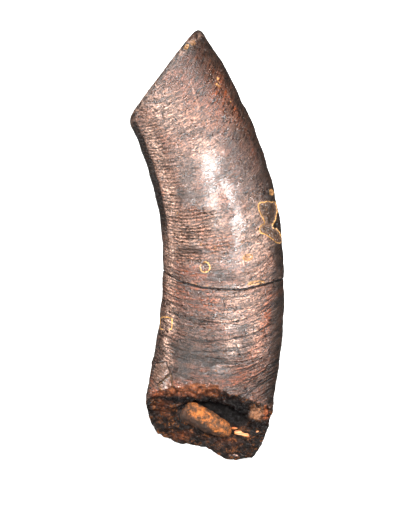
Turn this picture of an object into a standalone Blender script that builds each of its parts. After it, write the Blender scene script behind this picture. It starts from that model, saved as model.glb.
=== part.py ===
"""A fossil ground sloth tooth that lies on its flatter side, with sediment left in its open root.

+Y runs to the worn tip, +X to the outer side of the curve, and +Z up from the table. The origin is the middle
of the bounding box's underside. The sizes below are in millimetres and the meshes are in metres.

A place on the tooth is given by `along`, the distance along its curved axis, which grows towards the tip, and
by `turn`, the angle round it: 0 at the outer edge, a quarter turn on top, a half turn at the inner edge.
"""

import math

import bmesh
import bpy
import numpy as np
from mathutils import Vector, noise

MM = 0.001

# The axis starts from this point and leans by a cubic law. The half width follows one too. Each law takes the
# distance along the axis in steps of LAW_STEP.
AXIS_POINT = (4.265, 1.775)
LAW_STEP = 50.0
LEAN_LAW = (0.0885, 0.448, 0.0848, -0.1002)
HALF_WIDTH_LAW = (18.07, -1.42, -0.15, 0.11)
AXIS_REACH = (-75.0, 110.0)
AXIS_SAMPLES = 741

# The cross-section is a rounded oval, squarer at its upper inner shoulder, and deeper above its widest line.
WIDEST_LINE = 8.7
HEIGHT_OVER_LAW = (10.2, -0.4, -0.7)
DEPTH_UNDER_LAW = (9.1, 0.0, -0.9)
SQUARENESS = 2.4
SQUARENESS_SWING = 0.5
SQUAREST_TURN = math.radians(150)
ROOT_PINCH_FROM = -47.0
ROOT_PINCH = 0.022
PINCH_SHARES = (0.6, 0.4)

# Relief of the outer skin: a shallow flute beside the inner shoulder, slow swells from growth, and lumps.
FLUTE_TURN = math.radians(131)
FLUTE_SPREAD = math.radians(11)
FLUTE_DEPTH = 0.45
SWELL_PITCH = 9.5
SWELL_HEIGHT = 0.12
GROWTH_SAG = (6.0, 2.6)
LUMP_PITCH = 17.0
LUMP_HEIGHT = 0.25

# Spalls on the outer edge: along, turn, reach along, reach round and depth of each.
SPALLS = (
    (12.0, math.radians(34), 3.2, 3.0, 0.45),
    (6.5, math.radians(22), 3.0, 4.2, 0.40),
)
NOTCH_ALONG = 47.0
NOTCH_REACH = 3.0
NOTCH_DEPTH = 0.5

# The worn facet is a plane across the tip, seen edge-on from above, with rounded borders and a shallow basin.
FACET_NORMAL = (-0.797, 0.604)
FACET_DISTANCE = 42.46
TIP_ROUNDING = 2.6
HEEL_ROUNDING = 3.6
BASIN_DEPTH = 0.9

# The crack runs right round the shaft and dips towards the root in the middle of each face.
CRACK_ALONG = -14.7
CRACK_RISE = (4.0, -0.7)
CRACK_HALF_WIDTH = 0.45
CRACK_DEPTH = 0.9

# The broken root: how far along the axis the outer skin reaches, each twelfth of a turn, from the outer edge
# over the top. The lower wall reaches furthest.
RIM_REACH = (-49.2, -47.2, -45.9, -44.6, -46.6, -49.6, -54.6, -60.4, -62.8, -63.4, -66.2, -65.6)
RIM_RAGGED = 0.7
BREAK_NORMAL = Vector((0.0, -0.75, 0.66))
BREAK_ROUGHNESS = 0.9

# The pulp cavity is an oval cone that opens in the broken root.
LIP_ALONG = -52.5
LIP_SWING = 6.0
CAVITY_MOUTH = -56.0
CAVITY_APEX = -20.0
CAVITY_TAPER = 0.6
CAVITY_OFFSET = 1.6
CAVITY_HALF_WIDTH = 12.0
CAVITY_HALF_HEIGHT = 4.9
CAVITY_HEIGHT = 9.3

# The sediment is a low oval mound on the cavity's floor.
MOUND_CENTRE = (0.3, -52.6, 7.4)
MOUND_HALF_SIZES = (7.9, 4.9, 3.7)
MOUND_TURN = math.radians(-25)
MOUND_CLEARANCE = 0.35
MOUND_ROUGHNESS = 0.35

# Mesh density.
COLUMNS = 80
FACET_SHARES = (0.3, 0.6, 0.8, 0.9)
SHAFT_ROWS = 24
STUMP_ROWS = 13
BREAK_ROWS = 3
CAVITY_ROWS = 5
FACET_SEARCH_STEPS = 40


def law(coefficients, along):
    """The value of a polynomial law at a distance along the axis."""
    step = along / LAW_STEP
    return sum(c * step**power for power, c in enumerate(coefficients))


def axis_table():
    """The axis as distances along it and their x and y, summed from the lean."""
    along = np.linspace(*AXIS_REACH, AXIS_SAMPLES)
    lean = law(LEAN_LAW, along)
    spacing = along[1] - along[0]
    x = np.cumsum(-np.sin(lean)) * spacing
    y = np.cumsum(np.cos(lean)) * spacing
    x += AXIS_POINT[0] - np.interp(0, along, x)
    y += AXIS_POINT[1] - np.interp(0, along, y)
    return along, x, y


AXIS = axis_table()


def on_axis(along):
    """The axis point's x and y, and the x and y of the direction across to the outer edge."""
    x = np.interp(along, AXIS[0], AXIS[1])
    y = np.interp(along, AXIS[0], AXIS[2])
    lean = law(LEAN_LAW, along)
    return x, y, np.cos(lean), np.sin(lean)


def power_of(value, exponent):
    """A value raised to a power, keeping its sign."""
    return np.sign(value) * np.abs(value) ** exponent


def bare_skin(along, turn):
    """Points of the outer skin without its relief."""
    exponent = 2 / (SQUARENESS + SQUARENESS_SWING * np.cos(turn - SQUAREST_TURN))
    across = power_of(np.cos(turn), exponent)
    rise = power_of(np.sin(turn), exponent)
    pinch_side = PINCH_SHARES[0] - PINCH_SHARES[1] * across
    pinch = ROOT_PINCH * pinch_side * np.clip(ROOT_PINCH_FROM - along, 0, None) ** 2
    half_width = law(HALF_WIDTH_LAW, along) - pinch
    over, under = law(HEIGHT_OVER_LAW, along), law(DEPTH_UNDER_LAW, along)
    x, y, across_x, across_y = on_axis(along)
    height = WIDEST_LINE + rise * np.where(rise > 0, over, under)
    return np.stack([x + across * half_width * across_x, y + across * half_width * across_y, height], -1)


def skin_normals(along, turn):
    """Unit normals of the bare skin, pointing out."""
    step_along, step_turn = 0.2, 0.02
    down = bare_skin(along + step_along, turn) - bare_skin(along - step_along, turn)
    round_ = bare_skin(along, turn + step_turn) - bare_skin(along, turn - step_turn)
    normals = np.cross(down, round_)
    return normals / np.linalg.norm(normals, axis=-1, keepdims=True)


def noise_at(points, pitch, seed):
    """Smooth noise, from -1 to 1, at each point."""
    shift = Vector((seed * 13.1, seed * 7.7, seed * 3.3))
    flat = points.reshape(-1, 3)
    values = [noise.noise(Vector(p) / pitch + shift) for p in flat]
    return np.array(values).reshape(points.shape[:-1])


def crack_along(turn):
    """Where the crack runs."""
    c = np.cos(turn)
    return CRACK_ALONG + CRACK_RISE[0] * c**2 + CRACK_RISE[1] * c**3


def relief(along, turn, points):
    """How far the skin stands out from its bare form."""
    c = np.cos(turn)
    growth = along - GROWTH_SAG[0] * c**2 - GROWTH_SAG[1] * c
    swell = SWELL_HEIGHT * np.sin(2 * math.pi * growth / SWELL_PITCH + 3 * noise_at(points, LUMP_PITCH, 1))
    lump = LUMP_HEIGHT * noise_at(points, LUMP_PITCH, 2)
    flute = -FLUTE_DEPTH * np.exp(-(((turn - FLUTE_TURN) / FLUTE_SPREAD) ** 2))
    half_width = law(HALF_WIDTH_LAW, along)
    spalled = np.zeros_like(along)
    for centre, at_turn, reach_along, reach_round, depth in SPALLS:
        distance = np.hypot((along - centre) / reach_along, (turn - at_turn) * half_width / reach_round)
        spalled = np.minimum(spalled, -depth * (distance < 1))
    notch_side = np.clip(np.cos(turn - math.radians(10)), 0, 1) ** 8
    notch_rise = np.clip((along - NOTCH_ALONG) / NOTCH_REACH, 0, 1)
    notch_fade = np.clip((along - NOTCH_ALONG) / (5 * NOTCH_REACH), 0, 1)
    notch = -NOTCH_DEPTH * notch_side * notch_rise * (1 - notch_fade)
    return swell + lump + flute + spalled + notch


def skin(along, turn, sink=0.0):
    """Points of the outer skin with its relief, cut off flat where it rests on the table."""
    points = bare_skin(along, turn)
    points = points + skin_normals(along, turn) * (relief(along, turn, points) - sink)[..., None]
    points[..., 2] = np.clip(points[..., 2], 0, None)
    return points


def facet_along(turn, below):
    """Where the skin lies this far below the facet's plane, found by halving."""
    low, high = np.full_like(turn, 10.0), np.full_like(turn, 100.0)
    for _ in range(FACET_SEARCH_STEPS):
        middle = (low + high) / 2
        points = bare_skin(middle, turn)
        beyond = points[:, 0] * FACET_NORMAL[0] + points[:, 1] * FACET_NORMAL[1] > FACET_DISTANCE - below
        high = np.where(beyond, middle, high)
        low = np.where(beyond, low, middle)
    return (low + high) / 2


def facet_rows(turn):
    """The rows of the worn facet, from its centre to where its rounding meets the skin, and the centre."""
    rounding = TIP_ROUNDING + (HEEL_ROUNDING - TIP_ROUNDING) * (1 - np.cos(turn)) / 2
    borders = []
    for angle in (math.pi / 2, math.pi / 4, 0):
        points = skin(facet_along(turn, rounding * (1 - math.sin(angle))), turn)
        inward = points.mean(axis=0) - points
        inward /= np.linalg.norm(inward, axis=1, keepdims=True)
        borders.append(points + inward * (rounding * (1 - math.cos(angle)))[:, None])
    edge = borders[0]
    centre = edge.mean(axis=0)
    normal = np.array((*FACET_NORMAL, 0.0))
    rows = []
    for share in FACET_SHARES:
        basin = BASIN_DEPTH * max(0.0, 1 - (share / FACET_SHARES[-1]) ** 2)
        rows.append(centre + (edge - centre) * share - normal * basin)
    return centre - normal * BASIN_DEPTH, rows + borders


def rim_along(turn):
    """Where the broken edge of the outer skin runs."""
    twelfths = np.linspace(0, 2 * math.pi, len(RIM_REACH) + 1)
    smooth = np.interp(turn, twelfths, (*RIM_REACH, RIM_REACH[0]))
    ring = np.stack([np.cos(turn) * 19, np.sin(turn) * 9, np.zeros_like(turn)], -1)
    return smooth + RIM_RAGGED * noise_at(ring, 4.0, 3)


def cavity_sizes(along):
    """The cavity's half width and half height at a distance along the axis."""
    share = np.clip((CAVITY_APEX - along) / (CAVITY_APEX - CAVITY_MOUTH), 0, None) ** CAVITY_TAPER
    return CAVITY_HALF_WIDTH * share, CAVITY_HALF_HEIGHT * share


def cavity(along, turn):
    """Points of the pulp cavity's wall."""
    half_width, half_height = cavity_sizes(along)
    x, y, across_x, across_y = on_axis(along)
    across = CAVITY_OFFSET + half_width * np.cos(turn)
    return np.stack([x + across * across_x, y + across * across_y, CAVITY_HEIGHT + half_height * np.sin(turn)], -1)


def cavity_floor(x, y):
    """The height of the cavity's floor under a point."""
    nearest = np.argmin((AXIS[1] - x) ** 2 + (AXIS[2] - y) ** 2)
    along = AXIS[0][nearest]
    axis_x, axis_y, across_x, across_y = on_axis(along)
    across = (x - axis_x) * across_x + (y - axis_y) * across_y - CAVITY_OFFSET
    half_width, half_height = cavity_sizes(along)
    return CAVITY_HEIGHT - half_height * math.sqrt(max(0.0, 1 - (across / half_width) ** 2))


def root_rows(turn):
    """The rows from the broken edge over the break and up the pulp cavity, and the cavity's far end."""
    rim = skin(rim_along(turn), turn)
    lip_along = LIP_ALONG + LIP_SWING * np.sin(turn)
    lip = cavity(lip_along, turn)
    rows = []
    for row in range(BREAK_ROWS + 1):
        share = row / BREAK_ROWS
        points = rim + (lip - rim) * share
        roughness = BREAK_ROUGHNESS * math.sin(math.pi * (0.15 + 0.85 * share))
        rough = roughness * noise_at(points, 4.5, 4)
        points = points + np.array(BREAK_NORMAL) * rough[:, None]
        points[:, 2] = np.clip(points[:, 2], 0, None)
        rows.append(points)
    for row in range(1, CAVITY_ROWS + 1):
        share = row / (CAVITY_ROWS + 1)
        rows.append(cavity(lip_along + (CAVITY_APEX - lip_along) * share, turn))
    apex = cavity(np.full(1, CAVITY_APEX), np.zeros(1))[0]
    return rows, apex


def tooth_rows():
    """Every row of the tooth, from the middle of its facet to the end of its pulp cavity."""
    turn = np.linspace(0, 2 * math.pi, COLUMNS, endpoint=False)
    facet_centre, rows = facet_rows(turn)
    rounding = TIP_ROUNDING + (HEEL_ROUNDING - TIP_ROUNDING) * (1 - np.cos(turn)) / 2
    top, crack, rim = facet_along(turn, rounding), crack_along(turn), rim_along(turn)
    for row in range(1, SHAFT_ROWS + 1):
        share = row / SHAFT_ROWS
        rows.append(skin(top + (crack + CRACK_HALF_WIDTH - top) * share, turn))
    rows.append(skin(crack, turn, CRACK_DEPTH))
    for row in range(STUMP_ROWS):
        share = row / STUMP_ROWS
        rows.append(skin(crack - CRACK_HALF_WIDTH + (rim - crack + CRACK_HALF_WIDTH) * share, turn))
    broken, apex = root_rows(turn)
    return facet_centre, rows + broken, apex


def material(name, colour, roughness):
    """A Principled material of one colour."""
    made = bpy.data.materials.new(name)
    made.use_nodes = True
    shader = made.node_tree.nodes["Principled BSDF"]
    shader.inputs["Base Color"].default_value = (*colour, 1)
    shader.inputs["Roughness"].default_value = roughness
    shader.inputs["Metallic"].default_value = 0
    return made


def add_object(name, shape, made_of, smooth_under):
    """A mesh object from a bmesh, shaded smooth where its faces meet at less than an angle."""
    bmesh.ops.recalc_face_normals(shape, faces=shape.faces)
    mesh = bpy.data.meshes.new(name)
    shape.to_mesh(mesh)
    shape.free()
    mesh.shade_smooth()
    mesh.set_sharp_from_angle(angle=smooth_under)
    mesh.materials.append(made_of)
    made = bpy.data.objects.new(name, mesh)
    bpy.context.scene.collection.objects.link(made)
    return made


def make_tooth():
    """The tooth as one closed skin of rows, with a fan of faces at each end."""
    facet_centre, rows, apex = tooth_rows()
    shape = bmesh.new()
    first = shape.verts.new(Vector(facet_centre) * MM)
    last = shape.verts.new(Vector(apex) * MM)
    rings = [[shape.verts.new(Vector(p) * MM) for p in row] for row in rows]
    for column in range(COLUMNS):
        after = (column + 1) % COLUMNS
        shape.faces.new((first, rings[0][after], rings[0][column]))
        shape.faces.new((last, rings[-1][column], rings[-1][after]))
        for upper, lower in zip(rings, rings[1:]):
            shape.faces.new((upper[column], upper[after], lower[after], lower[column]))
    return add_object("tooth", shape, material("tooth", (0.12, 0.055, 0.035), 0.38), math.radians(40))


def make_sediment():
    """The mound of sediment, a rounded lump whose underside follows the cavity's floor."""
    shape = bmesh.new()
    bmesh.ops.create_uvsphere(shape, u_segments=24, v_segments=12, radius=1)
    for vert in shape.verts:
        across, along, up = (part * size for part, size in zip(vert.co, MOUND_HALF_SIZES))
        x = MOUND_CENTRE[0] + across * math.cos(MOUND_TURN) - along * math.sin(MOUND_TURN)
        y = MOUND_CENTRE[1] + across * math.sin(MOUND_TURN) + along * math.cos(MOUND_TURN)
        lowest = cavity_floor(x, y) + MOUND_CLEARANCE
        rough = MOUND_ROUGHNESS * noise.noise(Vector((x, y, up)) / 3.0)
        z = MOUND_CENTRE[2] + up + rough * max(0.0, vert.co.z)
        vert.co = Vector((x, y, max(z, lowest))) * MM
    return add_object("sediment", shape, material("sediment", (0.42, 0.2, 0.06), 0.85), math.radians(60))


def main():
    """Clears the scene and makes the tooth and the sediment."""
    for old in list(bpy.data.objects):
        bpy.data.objects.remove(old)
    make_tooth()
    make_sediment()


main()
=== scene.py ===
"""The looks of a fossil ground sloth tooth that lies on a table: its skin, its sediment, the studio and the camera.

A place on the tooth is given as in the part's source: `along` is the distance along the curved axis, which grows
towards the tip, and `turn` is the angle round it, 0 at the outer edge and a quarter turn on top. Marks on the upper
side are placed by the pixel of the photograph that they are seen at, and plan() turns that to x and y. All other
sizes are in millimetres, and MM turns them to the frame's metres.
"""

from __future__ import annotations

import logging
import math
from collections.abc import Iterable, Sequence
from dataclasses import dataclass, field
from enum import Enum
from functools import cached_property

import bmesh
import bpy
import numpy as np
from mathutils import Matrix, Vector, noise
from mathutils.bvhtree import BVHTree

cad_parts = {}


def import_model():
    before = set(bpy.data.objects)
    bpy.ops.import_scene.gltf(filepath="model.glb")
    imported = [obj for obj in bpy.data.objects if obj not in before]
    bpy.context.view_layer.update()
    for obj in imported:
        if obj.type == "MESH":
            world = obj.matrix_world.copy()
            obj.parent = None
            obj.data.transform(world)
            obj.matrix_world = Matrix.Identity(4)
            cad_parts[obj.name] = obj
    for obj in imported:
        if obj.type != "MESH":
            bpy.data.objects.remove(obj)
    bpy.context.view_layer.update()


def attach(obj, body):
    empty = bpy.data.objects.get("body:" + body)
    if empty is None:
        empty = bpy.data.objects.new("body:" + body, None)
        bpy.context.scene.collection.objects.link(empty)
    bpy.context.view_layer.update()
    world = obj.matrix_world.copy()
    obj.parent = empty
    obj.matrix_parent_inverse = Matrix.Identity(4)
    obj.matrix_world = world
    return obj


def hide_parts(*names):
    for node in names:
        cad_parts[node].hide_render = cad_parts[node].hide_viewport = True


LOG = logging.getLogger("tooth")
MM = 0.001
FAR = 1e9

# The photograph: its size, the pixel over the frame's origin, and what a pixel measures on the tooth.
PHOTO_SIZE = (416, 505)
ORIGIN_PIXEL = (208.0, 246.0)
MM_PER_PIXEL = 130.0 / 430.0

# The camera's lens and sensor, the height it is framed at, which is that of the tooth's widest line, and its
# distance from there.
LENS = 300.0
SENSOR = 36.0
WIDEST_LINE = 8.7
CAMERA_DISTANCE = PHOTO_SIZE[1] * MM_PER_PIXEL * LENS / SENSOR

Array = np.ndarray
Socket = bpy.types.NodeSocket
Pixels = Sequence[tuple[float, float]]


def plan(x_pixel: float, y_pixel: float) -> tuple[float, float]:
    """Gives the x and y that a pixel of the photograph looks down on."""
    return (x_pixel - ORIGIN_PIXEL[0]) * MM_PER_PIXEL, (ORIGIN_PIXEL[1] - y_pixel) * MM_PER_PIXEL


def as_seen(points: Array) -> Array:
    """Moves points to where the camera sees them against the plane of the tooth's widest line."""
    centre = np.array((*plan(PHOTO_SIZE[0] / 2, PHOTO_SIZE[1] / 2), 0.0))
    nearer = CAMERA_DISTANCE / (CAMERA_DISTANCE + WIDEST_LINE - points[..., 2:])
    flat = np.array((1.0, 1.0, 0.0))
    return centre + (points - centre) * (1 + (nearer - 1) * flat)


def smoothstep(low: float, high: float, value: Array) -> Array:
    """Gives 0 below low, 1 above high and a smooth rise between, also where low is the larger."""
    share = np.clip((value - low) / (high - low), 0, 1)
    return share * share * (3 - 2 * share)


def hump(value: Array, middle: float, reach: float) -> Array:
    """Gives 1 at the middle and a smooth fall to 0 past the reach on both sides."""
    return np.exp(-(((value - middle) / reach) ** 2))


def power_of(value: Array, exponent: Array) -> Array:
    """Gives a value raised to a power, keeping its sign."""
    return np.sign(value) * np.abs(value) ** exponent


def noise_at(points: Array, *layers: tuple[float, float, int]) -> Array:
    """Gives smooth noise at each point, summed from layers.

    Args:
        points: an array whose last axis holds x, y and z.
        layers: for each layer its strength, the size of its lumps in the points' unit, and its seed.

    Returns:
        The sums, in the shape of the array without its last axis.
    """
    total = np.zeros(points.shape[:-1])
    for strength, pitch, seed in layers:
        shift = Vector((seed * 13.1, seed * 7.7, seed * 3.3))
        values = [noise.noise(Vector(point) / pitch + shift) for point in points.reshape(-1, 3)]
        total += strength * np.array(values).reshape(total.shape)
    return total


def ring_noise(turn: Array, reach: float, *layers: tuple[float, float, int]) -> Array:
    """Gives noise that closes on itself round a ring of this half width, in layers as noise_at takes them."""
    return noise_at(np.stack([np.cos(turn) * reach, np.sin(turn) * 9, np.zeros_like(turn)], -1), *layers)


@dataclass(frozen=True)
class Form:
    """The form of the tooth, with the sizes and laws of the CAD solid, in millimetres and radians."""

    axis_point: tuple[float, float] = (4.265, 1.775)
    law_step: float = 50.0
    lean_law: tuple[float, ...] = (0.0885, 0.448, 0.0848, -0.1002)
    half_width_law: tuple[float, ...] = (18.07, -1.42, -0.15, 0.11)
    axis_reach: tuple[float, float] = (-75.0, 110.0)
    axis_samples: int = 741
    height_over_law: tuple[float, ...] = (10.2, -0.4, -0.7)
    depth_under_law: tuple[float, ...] = (9.1, 0.0, -0.9)
    squareness: float = 2.4
    squareness_swing: float = 0.5
    squarest_turn: float = math.radians(150)
    root_pinch_from: float = -47.0
    root_pinch: float = 0.022
    pinch_shares: tuple[float, float] = (0.5, 0.5)
    flute_turn: float = math.radians(131)
    flute_spread: float = math.radians(11)
    flute_depth: float = 0.45
    swell_pitch: float = 9.5
    swell_height: float = 0.12
    waist_along: float = -38.5
    waist_reach: float = 5.0
    waist_depth: float = 0.6
    waist_turn: float = math.radians(108)
    growth_sag: tuple[float, float] = (6.0, 2.6)
    lump_pitch: float = 17.0
    lump_height: float = 0.25
    notch_along: float = 34.6
    notch_reach: float = 1.8
    notch_depth: float = 0.7
    notch_turn: float = math.radians(10)
    facet_normal: tuple[float, float] = (-0.797, 0.604)
    facet_distance: float = 42.46
    tip_rounding: float = 2.6
    heel_rounding: float = 2.2
    brow_rounding: float = 0.7
    basin_depth: float = 0.9
    crack_middle: float = -14.7
    crack_rise: tuple[float, float] = (4.6, -1.3)
    crack_wander: float = 0.3
    rim_reach: tuple[float, ...] = (
        *(-49.2, -47.2, -45.9, -44.6, -46.6, -49.6),
        *(-54.8, -61.2, -63.0, -63.2, -66.4, -63.6),
    )
    rim_ragged: float = 0.7
    break_normal: tuple[float, float, float] = (0.0, -0.75, 0.66)
    break_roughness: float = 0.9
    lip_along: float = -53.6
    lip_swing: float = 4.9
    cavity_mouth: float = -56.0
    cavity_apex: float = -20.0
    cavity_taper: float = 0.6
    cavity_offset: float = 1.6
    cavity_half_width: float = 12.0
    cavity_half_height: float = 4.9
    cavity_height: float = 9.3

    def law(self, coefficients: tuple[float, ...], along: Array) -> Array:
        """Gives the value of a polynomial law at distances along the axis."""
        step = along / self.law_step
        return sum(c * step**power for power, c in enumerate(coefficients))

    def on_axis(self, along: Array) -> tuple[Array, Array, Array, Array]:
        """Gives the axis point's x and y, and the x and y of the direction across to the outer edge."""
        table = np.linspace(*self.axis_reach, self.axis_samples)
        lean = self.law(self.lean_law, table)
        spacing = table[1] - table[0]
        x = np.cumsum(-np.sin(lean)) * spacing
        y = np.cumsum(np.cos(lean)) * spacing
        x += self.axis_point[0] - np.interp(0, table, x)
        y += self.axis_point[1] - np.interp(0, table, y)
        here = self.law(self.lean_law, along)
        return np.interp(along, table, x), np.interp(along, table, y), np.cos(here), np.sin(here)

    def exponent(self, turn: Array) -> Array:
        """Gives the power that squares the section, which is squarest beside the flute."""
        return 2 / (self.squareness + self.squareness_swing * np.cos(turn - self.squarest_turn))

    def bare_skin(self, along: Array, turn: Array) -> Array:
        """Gives points of the outer skin without its relief."""
        across = power_of(np.cos(turn), self.exponent(turn))
        rise = power_of(np.sin(turn), self.exponent(turn))
        side = self.pinch_shares[0] - self.pinch_shares[1] * across
        pinch = self.root_pinch * side * np.clip(self.root_pinch_from - along, 0, None) ** 2
        half_width = (self.law(self.half_width_law, along) - pinch) * across
        over, under = self.law(self.height_over_law, along), self.law(self.depth_under_law, along)
        x, y, across_x, across_y = self.on_axis(along)
        height = WIDEST_LINE + rise * np.where(rise > 0, over, under)
        return np.stack([x + half_width * across_x, y + half_width * across_y, height], -1)

    def normals(self, along: Array, turn: Array) -> Array:
        """Gives unit normals of the bare skin, pointing out."""
        step_along, step_turn = 0.2, 0.02
        down = self.bare_skin(along + step_along, turn) - self.bare_skin(along - step_along, turn)
        round_ = self.bare_skin(along, turn + step_turn) - self.bare_skin(along, turn - step_turn)
        out = np.cross(down, round_)
        return out / np.linalg.norm(out, axis=-1, keepdims=True)

    def growth(self, along: Array, turn: Array) -> Array:
        """Gives the growth line that a place lies on, as its distance along the middle of the upper side."""
        c = np.cos(turn)
        return along - self.growth_sag[0] * c**2 - self.growth_sag[1] * c

    def crack(self, turn: Array) -> Array:
        """Gives where the crack runs."""
        c = np.cos(turn)
        wander = self.crack_wander * ring_noise(turn, 18, (1, 5.0, 5), (0.5, 1.6, 6))
        return self.crack_middle + self.crack_rise[0] * c**2 + self.crack_rise[1] * c**3 + wander

    def relief(self, along: Array, turn: Array, points: Array) -> Array:
        """Gives how far the slow forms of the CAD solid stand out from the bare skin."""
        wander = noise_at(points, (3, self.lump_pitch, 1))
        swell = np.sin(2 * math.pi * self.growth(along, turn) / self.swell_pitch + wander)
        lump = noise_at(points, (self.lump_height, self.lump_pitch, 2))
        flute = self.flute_depth * hump(turn, self.flute_turn, self.flute_spread)
        side = np.clip(np.cos(turn - self.notch_turn), 0, 1) ** 8
        rise = np.clip((along - self.notch_along) / self.notch_reach, 0, 1)
        fade = np.clip((along - self.notch_along) / (5 * self.notch_reach), 0, 1)
        waist = hump(along, self.waist_along, self.waist_reach)
        waist = waist * self.waist_depth * smoothstep(0.1, 0.8, np.cos(turn - self.waist_turn))
        return self.swell_height * swell + lump - flute - waist - self.notch_depth * side * rise * (1 - fade)

    def facet_along(self, turn: Array, below: Array) -> Array:
        """Gives where the bare skin lies this far below the facet's plane, found by halving."""
        low, high = np.full_like(turn, 10.0), np.full_like(turn, 100.0)
        for _ in range(40):
            middle = (low + high) / 2
            points = self.bare_skin(middle, turn)
            reach = points[..., 0] * self.facet_normal[0] + points[..., 1] * self.facet_normal[1]
            beyond = reach > self.facet_distance - below
            high = np.where(beyond, middle, high)
            low = np.where(beyond, low, middle)
        return (low + high) / 2

    def rounding(self, turn: Array) -> Array:
        """Gives the radius of the facet's border, which is crisp but for the corners at the tip and the heel."""
        corner = self.tip_rounding + (self.heel_rounding - self.tip_rounding) * (1 - np.cos(turn)) / 2
        return self.brow_rounding + (corner - self.brow_rounding) * np.abs(np.cos(turn)) ** 6

    def rim(self, turn: Array) -> Array:
        """Gives where the broken edge of the outer skin runs."""
        twelfths = np.linspace(0, 2 * math.pi, len(self.rim_reach) + 1)
        smooth = np.interp(turn % (2 * math.pi), twelfths, (*self.rim_reach, self.rim_reach[0]))
        return smooth + ring_noise(turn, 19, (self.rim_ragged, 4.0, 3))

    def cavity(self, along: Array, turn: Array) -> Array:
        """Gives points of the pulp cavity's wall."""
        share = (self.cavity_apex - along) / (self.cavity_apex - self.cavity_mouth)
        size = np.clip(share, 0, None) ** self.cavity_taper
        x, y, across_x, across_y = self.on_axis(along)
        across = self.cavity_offset + self.cavity_half_width * size * np.cos(turn)
        height = self.cavity_height + self.cavity_half_height * size * np.sin(turn)
        return np.stack([x + across * across_x, y + across * across_y, height], -1)


class Stain(Enum):
    """What a patch of colour on the tooth is: the pale kind also carries painted highlight, and the manganese kind
    painted shade.
    """

    IRON = 0
    PALE = 1
    MANGANESE = 2


@dataclass(frozen=True)
class Patch:
    """A soft-edged patch, placed by a pixel of the photograph, with its reach in pixels and its tilt in degrees."""

    x: float
    y: float
    reach_across: float
    reach_down: float
    strength: float
    tilt: float = 0.0

    def cover(self, spot: Array) -> Array:
        """Gives how strongly the patch covers plan points, from 0 to its strength."""
        x, y = plan(self.x, self.y)
        angle = math.radians(self.tilt)
        dx, dy = spot[..., 0] - x, spot[..., 1] - y
        across = (dx * math.cos(angle) + dy * math.sin(angle)) / (self.reach_across * MM_PER_PIXEL)
        down = (dy * math.cos(angle) - dx * math.sin(angle)) / (self.reach_down * MM_PER_PIXEL)
        return self.strength * np.exp(-((across**2 + down**2) ** 1.5) * 0.7)


def patches(*rows: tuple[float, ...]) -> tuple[Patch, ...]:
    """Makes a patch from each row of its fields."""
    return tuple(Patch(*row) for row in rows)


def total(cover: tuple[Patch, ...], spot: Array) -> Array:
    """Gives the strongest cover of several patches at plan points."""
    return np.maximum.reduce([np.zeros(spot.shape[:-1]), *(patch.cover(spot) for patch in cover)])


def from_stretch(spot: Array, start: tuple[float, float], end: tuple[float, float]) -> tuple[Array, Array]:
    """Gives the signed distance of plan points from a straight stretch, and the plain one, also past its ends."""
    dx, dy = end[0] - start[0], end[1] - start[1]
    px, py = spot[..., 0] - start[0], spot[..., 1] - start[1]
    share = np.clip((px * dx + py * dy) / (dx * dx + dy * dy), 0, 1)
    return (px * dy - py * dx) / math.hypot(dx, dy), np.hypot(px - share * dx, py - share * dy)


def from_lines(lines: Iterable[Pixels], spot: Array) -> tuple[Array, Array]:
    """Gives the signed and the plain distance of plan points from the nearest of several lines of pixels."""
    signed, plain = np.full(spot.shape[:-1], FAR), np.full(spot.shape[:-1], FAR)
    for line in lines:
        stops = [plan(*pixel) for pixel in line]
        for start, end in zip(stops, stops[1:]):
            side, gap = from_stretch(spot, start, end)
            signed = np.where(gap < plain, side, signed)
            plain = np.minimum(plain, gap)
    return signed, plain


class Fill(Enum):
    """What shows inside a chip's outline."""

    SKIN = 0
    FRESH = 1
    GOLD = 2
    FILM = 3


@dataclass(frozen=True)
class Chip:
    """A shallow chip with an outline of bared bright dentine, its corners given by photograph pixels.

    rim is how bright the outline is and glow how strongly the inside is filled. The outline is missing round gap_at.
    """

    corners: Pixels
    fill: Fill
    depth: float
    rim: float = 1.0
    glow: float = 0.9
    gap_at: tuple[float, float] | None = None

    def distance(self, spot: Array) -> Array:
        """Gives the signed distance of plan points to the outline, negative inside."""
        ring = [plan(*corner) for corner in self.corners]
        nearest = from_lines([(*self.corners, self.corners[0])], spot)[1]
        inside = np.zeros(spot.shape[:-1], bool)
        for (x0, y0), (x1, y1) in zip(ring, ring[1:] + ring[:1]):
            crosses = (y0 > spot[..., 1]) != (y1 > spot[..., 1])
            inside ^= crosses & (spot[..., 0] < x0 + (spot[..., 1] - y0) * (x1 - x0) / ((y1 - y0) or 1 / FAR))
        return np.where(inside, -nearest, nearest)


def round_chip(
    x: float,
    y: float,
    reach: tuple[float, float],
    fill: Fill,
    depth: float,
    tilt: float = 0.0,
    corners: int = 20,
    squareness: float = 2.0,
    **rest: object,
) -> Chip:
    """Makes an oval or squarish chip.

    Args:
        x: the pixel column of its middle.
        y: the pixel row of its middle.
        reach: its half width and half height, in pixels.
        fill: what shows inside it.
        depth: how deep it is, in millimetres.
        tilt: how far it is turned, in degrees.
        corners: how many corners its outline has.
        squareness: 2 for an oval, more for a square with round corners.
        rest: the chip's rim, glow or gap_at.

    Returns:
        The chip.
    """
    angle = 2 * math.pi * np.arange(corners) / corners
    across = reach[0] * power_of(np.cos(angle), 2 / squareness)
    down = reach[1] * power_of(np.sin(angle), 2 / squareness)
    cosine, sine = math.cos(math.radians(tilt)), math.sin(math.radians(tilt))
    ring = zip(x + across * cosine - down * sine, y + across * sine + down * cosine)
    return Chip(tuple(ring), fill, depth, **rest)


def speck(x: float, y: float, reach: float, glow: float = 0.7) -> Chip:
    """Makes a fleck of bared dentine with no outline of its own."""
    return round_chip(x, y, (reach, reach * 1.25), Fill.GOLD, 0.12, corners=8, rim=0, glow=glow)


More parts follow.
